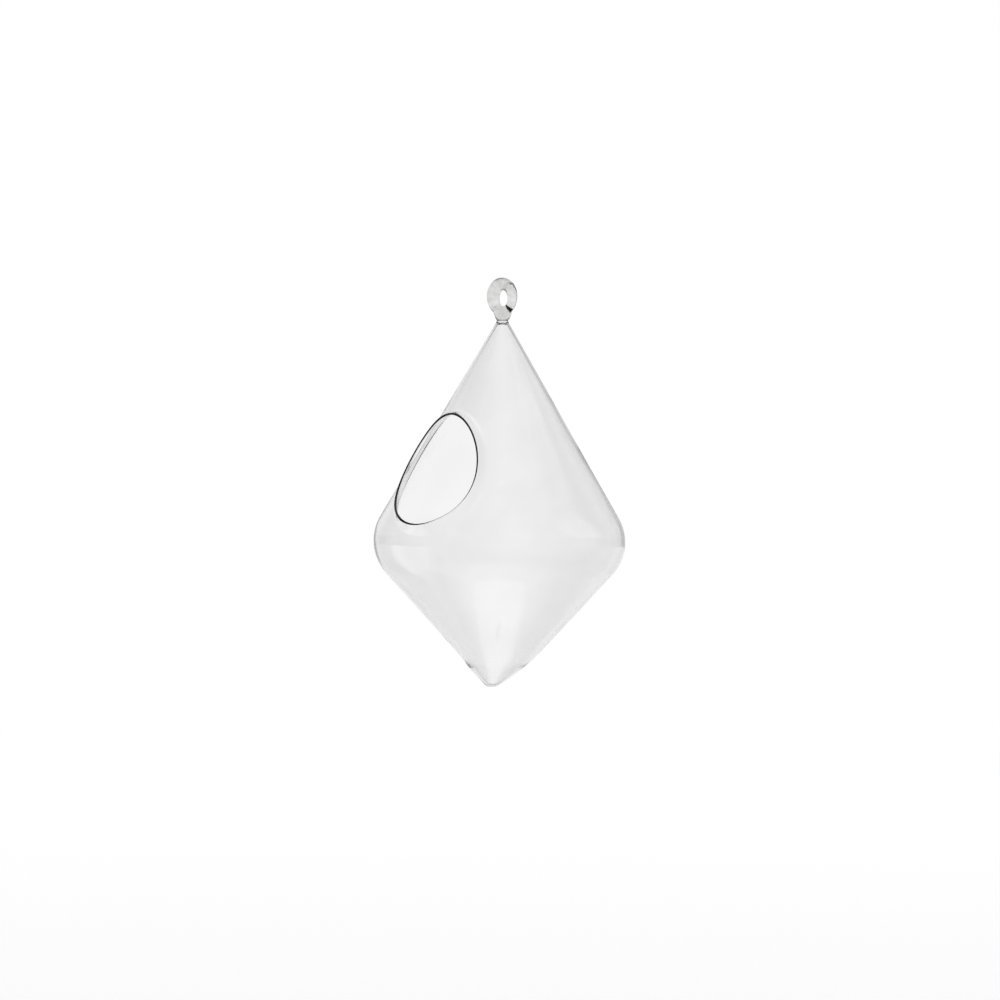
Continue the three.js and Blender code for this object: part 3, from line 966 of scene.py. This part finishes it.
painted_reflection_floor = add_node(tree, "ShaderNodeEmission", {"Color": linear("#FFFFFF"), "Strength": painted_reflection_glow})
lit = add_node(tree, "ShaderNodeBsdfDiffuse", {"Color": linear("#F5F5F5"), "Roughness": 0.6})
# Near the vase the paper shows its shadow. It glows a little, more where the lamp fades, to stay white
lamp_fades = add_node(tree, "ShaderNodeMapRange", [away, 0.2, 2.2, 0.21, 0.46], **SMOOTH)
glow = add_node(tree, "ShaderNodeEmission", {"Color": linear("#FFFFFF"), "Strength": lamp_fades})
near_floor = add_node(tree, "ShaderNodeAddShader", [lit, glow])
white = add_node(tree, "ShaderNodeEmission", {"Color": linear("#FFFFFF"), "Strength": 1.0})
far_away = add_node(tree, "ShaderNodeMapRange", [away, 0.8, 1.7, 0.0, 1.0], **SMOOTH)
white_floor = add_node(tree, "ShaderNodeMixShader", [far_away, near_floor, white])
path = add_node(tree, "ShaderNodeLightPath").node.outputs
seen = add_node(tree, MATH, [path["Is Camera Ray"], path["Is Transmission Ray"]], operation="MAXIMUM")
floor_shown = add_node(tree, "ShaderNodeMixShader", [seen, lit, white_floor])
bounced = add_node(tree, MATH, [path["Glossy Depth"], 1.0], operation="MINIMUM")
floor_look = add_node(tree, "ShaderNodeMixShader", [bounced, floor_shown, painted_reflection_floor])
add_node(tree, "ShaderNodeOutputMaterial", {"Surface": floor_look})
floor_mesh.materials.append(paper)

# %% World: directions as lift above the horizon and turn from straight ahead, to the right, in radians
world = bpy.data.worlds.new("white_studio")
scene.world = world
world.use_nodes = True
tree = world.node_tree
tree.nodes.clear()
direction = add_node(tree, "ShaderNodeTexCoord")
height = add_node(tree, "ShaderNodeSeparateXYZ", [direction]).node.outputs["Z"]
lift = add_node(tree, MATH, [height], operation="ARCSINE")
ahead = add_node(tree, VECTOR, [direction, back], operation="DOT_PRODUCT").node.outputs["Value"]
aside = add_node(tree, VECTOR, [direction, right], operation="DOT_PRODUCT").node.outputs["Value"]
turn = add_node(tree, MATH, [aside, ahead], operation="ARCTAN2")


def by_lift(start, end, low, high):
    """A brightness that runs from low to high between two lifts in degrees."""
    limits = [lift, math.radians(start), math.radians(end), low, high]
    return add_node(tree, "ShaderNodeMapRange", limits, **SMOOTH)


# %% World: the white wall that shows through the glass, and its dimmer ceiling
through = by_lift(24, 44, 1.0, 0.45)

# %% World: the dimmer room that its reflections show
# How bright each wall is behind the camera, and then at these turns in degrees, low down and high up
LOW_WALL = (
    0.34,
    {-130: 0.22, -75: 0.24, -50: 0.5, -25: 0.92, 0: 0.75, 25: 0.64, 50: 0.52, 80: 0.24, 130: 0.18},
)
HIGH_WALL = (
    0.6,
    {-122: 0.3, -108: 0.0, -72: 0.0, -48: 0.35, -20: 0.58, 50: 0.42, 72: 0.0, 92: 0.0, 125: 0.38},
)
all_round = add_node(tree, "ShaderNodeMapRange", [turn, -math.pi, math.pi, 0.0, 1.0])
rooms = []
for behind_camera, rest_of_room in (LOW_WALL, HIGH_WALL):
    shades = add_node(tree, "ShaderNodeValToRGB", [all_round])
    ramp = shades.node.color_ramp
    ramp.interpolation = "EASE"
    for end in ramp.elements:
        end.color = (behind_camera, behind_camera, behind_camera, 1.0)
    for turned, shade in rest_of_room.items():
        ramp.elements.new(0.5 + turned / 360).color = (shade, shade, shade, 1.0)
    rooms.append(shades)
FLOAT_MIX = {"data_type": "FLOAT"}
climb = by_lift(8, 28, 0.0, 1.0)
walls = add_node(tree, "ShaderNodeMix", {"Factor": climb, "A": rooms[0], "B": rooms[1]}, **FLOAT_MIX)
overhead = by_lift(48, 84, 0.0, 1.15)
mirrored = add_node(tree, MATH, [walls, overhead], operation="MAXIMUM")
print(f"mirrored room: {len(LOW_WALL[1])} shades low down, {len(HIGH_WALL[1])} high up, and a bright ceiling")

# %% Which of them a ray sees
WALL_ON_PAPER = 0.62  # what the room adds to the light on the floor
path = add_node(tree, "ShaderNodeLightPath").node.outputs
bounced = add_node(tree, MATH, [path["Glossy Depth"], 1.0], operation="MINIMUM")
straight = {"Factor": path["Is Transmission Ray"], "A": WALL_ON_PAPER, "B": through}
unmirrored = add_node(tree, "ShaderNodeMix", straight, **FLOAT_MIX)
in_glass = add_node(tree, "ShaderNodeMix", {"Factor": bounced, "A": unmirrored, "B": mirrored}, **FLOAT_MIX)
shown = add_node(tree, "ShaderNodeMix", {"Factor": path["Is Camera Ray"], "A": in_glass, "B": 1.0}, **FLOAT_MIX)
sky = add_node(tree, "ShaderNodeBackground", {"Color": linear("#FFFFFF"), "Strength": shown})
add_node(tree, "ShaderNodeOutputWorld", {"Surface": sky})

# %% A soft box overhead
SOFT_BOX_SIZE, SOFT_BOX_WATTS, SOFT_BOX_Z = 0.9, 6.4, 1.2
soft_box = bpy.data.objects.new("soft_box", bpy.data.lights.new("soft_box", "AREA"))
soft_box.data.shape = "SQUARE"
soft_box.data.size = SOFT_BOX_SIZE
soft_box.data.energy = SOFT_BOX_WATTS
soft_box.location = (0, 0, SOFT_BOX_Z)
# The glass doesn't show the lamp itself, since the room's bright ceiling stands for it, with soft edges
soft_box.visible_glossy = soft_box.visible_transmission = False
scene.collection.objects.link(soft_box)

# %% View settings, sizes and the end
scene.view_settings.view_transform = "Standard"
low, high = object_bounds()
print("visual box:", [round(x, 4) for x in low], [round(x, 4) for x in high])
